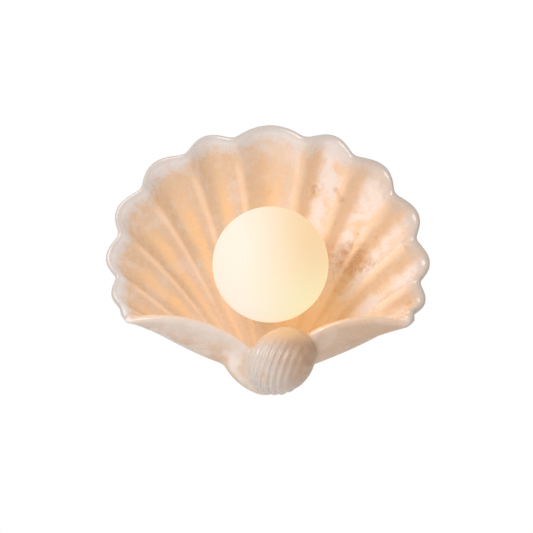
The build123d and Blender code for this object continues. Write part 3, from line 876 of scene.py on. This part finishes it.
def fitting(name, colour, patch_colour, patch_size, specks, roughness, bump=0.0002, lines=None, **settings):
    """A finish for some of the fittings.

    specks is (size, share), roughness is (smoothest, roughest) and lines is (stretch, size) on brushed metal.
    """
    material, tree, shader = new_material(name, **settings)
    given = {
        "Colour": srgb(*colour),
        "Patch Colour": srgb(*patch_colour),
        "Patch Size": patch_size,
        "Speck Size": specks[0],
        "Speck Share": specks[1],
        "Smoothest": roughness[0],
        "Roughest": roughness[1],
    }
    worn = add(tree, "ShaderNodeGroup", node_tree=WORN)
    for socket, value in given.items():
        worn.inputs[socket].default_value = value
    tree.links.new(worn.outputs["Colour"], shader.inputs["Base Color"])
    rough = worn.outputs["Roughness"]
    height = worn.outputs["Height"]
    if lines:
        brushed = add(tree, "ShaderNodeGroup", node_tree=BRUSHED)
        brushed.inputs["Stretch"].default_value = lines[0]
        brushed.inputs["Line Size"].default_value = lines[1]
        rough = maths(tree, "ADD", rough, times(tree, brushed.outputs["Share"], 0.14))
        height = maths(tree, "ADD", height, brushed.outputs["Height"])
    tree.links.new(rough, shader.inputs["Roughness"])
    bumped(tree, shader, height, bump, 0.6)
    return material


def frosted_cover():
    """Frosted plastic over the lamp's light board, warm with its light."""
    material = fitting(
        "frosted_cover", (248, 240, 222), (238, 226, 204), 60, (500, 0.2), (0.42, 0.6), Emission_Strength=0.6)
    tree = material.node_tree
    along = add(tree, "ShaderNodeSeparateXYZ", {0: object_place(tree)}).outputs["Y"]
    lit = soft(tree, along, -0.112, -0.084, 1, 0.3)
    colour = blended(tree, lit, srgb(250, 214, 150), srgb(255, 240, 205))
    tree.links.new(colour, tree.nodes["Principled BSDF"].inputs["Emission Color"])
    return material


def earth_sleeve():
    """Green sleeve with slanting yellow stripes."""
    material = fitting("green_sleeve", (40, 132, 62), (30, 112, 52), 60, (700, 0.3), (0.36, 0.48))
    tree = material.node_tree
    parts = add(tree, "ShaderNodeSeparateXYZ", {0: object_place(tree)})
    stripe = maths(tree, "ADD", parts.outputs["X"], maths(tree, "MULTIPLY", parts.outputs["Y"], 0.6))
    turns = maths(tree, "SINE", maths(tree, "MULTIPLY", stripe, 2600))
    share = soft(tree, turns, 0.1, 0.35)
    base = tree.nodes["Principled BSDF"].inputs["Base Color"]
    tree.links.new(blended(tree, share, base.links[0].from_socket, srgb(226, 198, 40)), base)
    return material


ZINC = fitting(
    "zinc_steel", (196, 198, 196), (168, 170, 166), 45, (420, 0.35), (0.28, 0.44),
    lines=((1, 1, 12), 260), Metallic=1.0)
PAINT = fitting(
    "white_paint", (240, 238, 233), (230, 227, 220), 18, (520, 0.25), (0.32, 0.46), 0.0003, Coat_Weight=0.15)
FOAM = fitting("foam", (150, 150, 148), (112, 112, 112), 90, (950, 0.9), (0.85, 0.98), 0.0008)
BRASS = fitting(
    "brass", (206, 168, 92), (170, 128, 66), 70, (600, 0.3), (0.22, 0.4),
    lines=((1, 10, 1), 300), Metallic=1.0)
RUBBER = fitting("rubber_pad", (54, 52, 50), (72, 70, 66), 60, (800, 0.6), (0.7, 0.86), 0.0004)
SILICONE = fitting(
    "clear_silicone", (226, 228, 226), (208, 212, 210), 50, (600, 0.2), (0.28, 0.42), Subsurface_Weight=0.3)
PORCELAIN = fitting(
    "porcelain", (238, 234, 224), (226, 220, 206), 32, (380, 0.35), (0.12, 0.26), 0.0002, Coat_Weight=0.5)
LAMP_PLASTIC = fitting("lamp_plastic", (240, 240, 238), (226, 226, 224), 50, (620, 0.25), (0.38, 0.52))
BLOCK_PLASTIC = fitting("block_plastic", (228, 222, 206), (212, 204, 184), 42, (540, 0.3), (0.4, 0.55))
BROWN = fitting("brown_sleeve", (112, 66, 38), (88, 50, 30), 60, (700, 0.3), (0.36, 0.48))
BLUE = fitting("blue_sleeve", (46, 108, 178), (34, 88, 156), 60, (700, 0.3), (0.36, 0.48))
COVER = frosted_cover()
GREEN = earth_sleeve()

# The fittings keep the solids of the part and get these finishes.
FINISHES = {
    "wall_strap": ZINC,
    "round_pan": PAINT,
    "wall_foam": FOAM,
    "side_screw_left": BRASS,
    "side_screw_right": BRASS,
    "threaded_tube": ZINC,
    "tube_locknuts": BRASS,
    "tube_lockwasher": ZINC,
    "back_stone_pad": RUBBER,
    "front_stone_pad": RUBBER,
    "globe_collar": PAINT,
    "globe_seal": SILICONE,
    "holder_spacer": ZINC,
    "lampholder": PORCELAIN,
    "lampholder_screws": ZINC,
    "lamp_contacts": BRASS,
    "lamp_pins": ZINC,
    "lamp_base": LAMP_PLASTIC,
    "lamp_cover": COVER,
    "lamp_board": PAINT,
    "terminal_block": BLOCK_PLASTIC,
    "clamp_tubes": BRASS,
    "clamp_screws": ZINC,
    "block_screws": ZINC,
    "earth_ring": BRASS,
    "earth_screw": BRASS,
    "live_wire": BROWN,
    "neutral_wire": BLUE,
    "earth_wire": GREEN,
}


# ---------------------------------------------------------------- studio

def soft_light(name, place, size, power):
    """A square lamp that shines at the middle of the sconce."""
    light = bpy.data.lights.new(name, "AREA")
    light.size = size
    light.energy = power
    lamp = bpy.data.objects.new(name, light)
    lamp.location = place
    lamp.rotation_euler = (Vector(LIT_PLACE) - Vector(place)).to_track_quat("-Z", "Y").to_euler()
    bpy.context.scene.collection.objects.link(lamp)


def lay_floor():
    """A plain pale floor, some way below the sconce."""
    clear_selection()
    bpy.ops.mesh.primitive_circle_add(
        vertices=96, radius=FLOOR_RADIUS, fill_type="NGON", location=FLOOR_PLACE)
    floor = named("floor")
    material, _, _ = new_material(
        "floor_paint", Roughness=0.9, Base_Color=(0.9, 0.9, 0.9, 1),
        Emission_Color=(1, 1, 1, 1), Emission_Strength=0.12)
    floor.data.materials.append(material)


def light_surroundings():
    """White surroundings, which light the sconce less than they show."""
    world = bpy.data.worlds.new("studio")
    bpy.context.scene.world = world
    world.use_nodes = True
    tree = world.node_tree
    tree.nodes.clear()
    seen = add(tree, "ShaderNodeLightPath").outputs["Is Camera Ray"]
    strength = ranged(tree, seen, 0, 1, SURROUND_LIGHT, 1.0)
    background = add(tree, "ShaderNodeBackground", {"Color": (1, 1, 1, 1), "Strength": strength})
    add(tree, "ShaderNodeOutputWorld", {"Surface": background.outputs[0]})


def photograph():
    """The camera where the photographer stood: level with the globe and 1.2 metres in front of it."""
    data = bpy.data.cameras.new("camera")
    data.sensor_width = SENSOR_WIDTH
    data.lens = SENSOR_WIDTH * CAMERA_DISTANCE * PICTURE_SCALE / PICTURE_WIDTH
    camera = bpy.data.objects.new("camera", data)
    camera.location = (CAMERA_X * MM, -(CAMERA_DISTANCE + GLOBE_CENTRE) * MM, CAMERA_Z * MM)
    camera.rotation_euler = (math.pi / 2, 0, 0)
    bpy.context.scene.collection.objects.link(camera)
    bpy.context.scene.camera = camera


# ---------------------------------------------------------------- scene

stone = carve_stone()
stone.data.materials.append(alabaster())
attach(stone, "fixture")
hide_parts("alabaster_shell")

globe = blow_globe()
globe.data.materials.append(opal_glass())
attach(globe, "globe")
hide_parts("globe")

for node, finish in FINISHES.items():
    piece = bpy.data.objects[node]
    piece.data.materials.clear()
    piece.data.materials.append(finish)

lay_floor()
light_surroundings()
soft_light("key", KEY_PLACE, KEY_SIZE, KEY_POWER)
soft_light("fill", FILL_PLACE, FILL_SIZE, FILL_POWER)
photograph()
bpy.context.scene.view_settings.view_transform = "Standard"
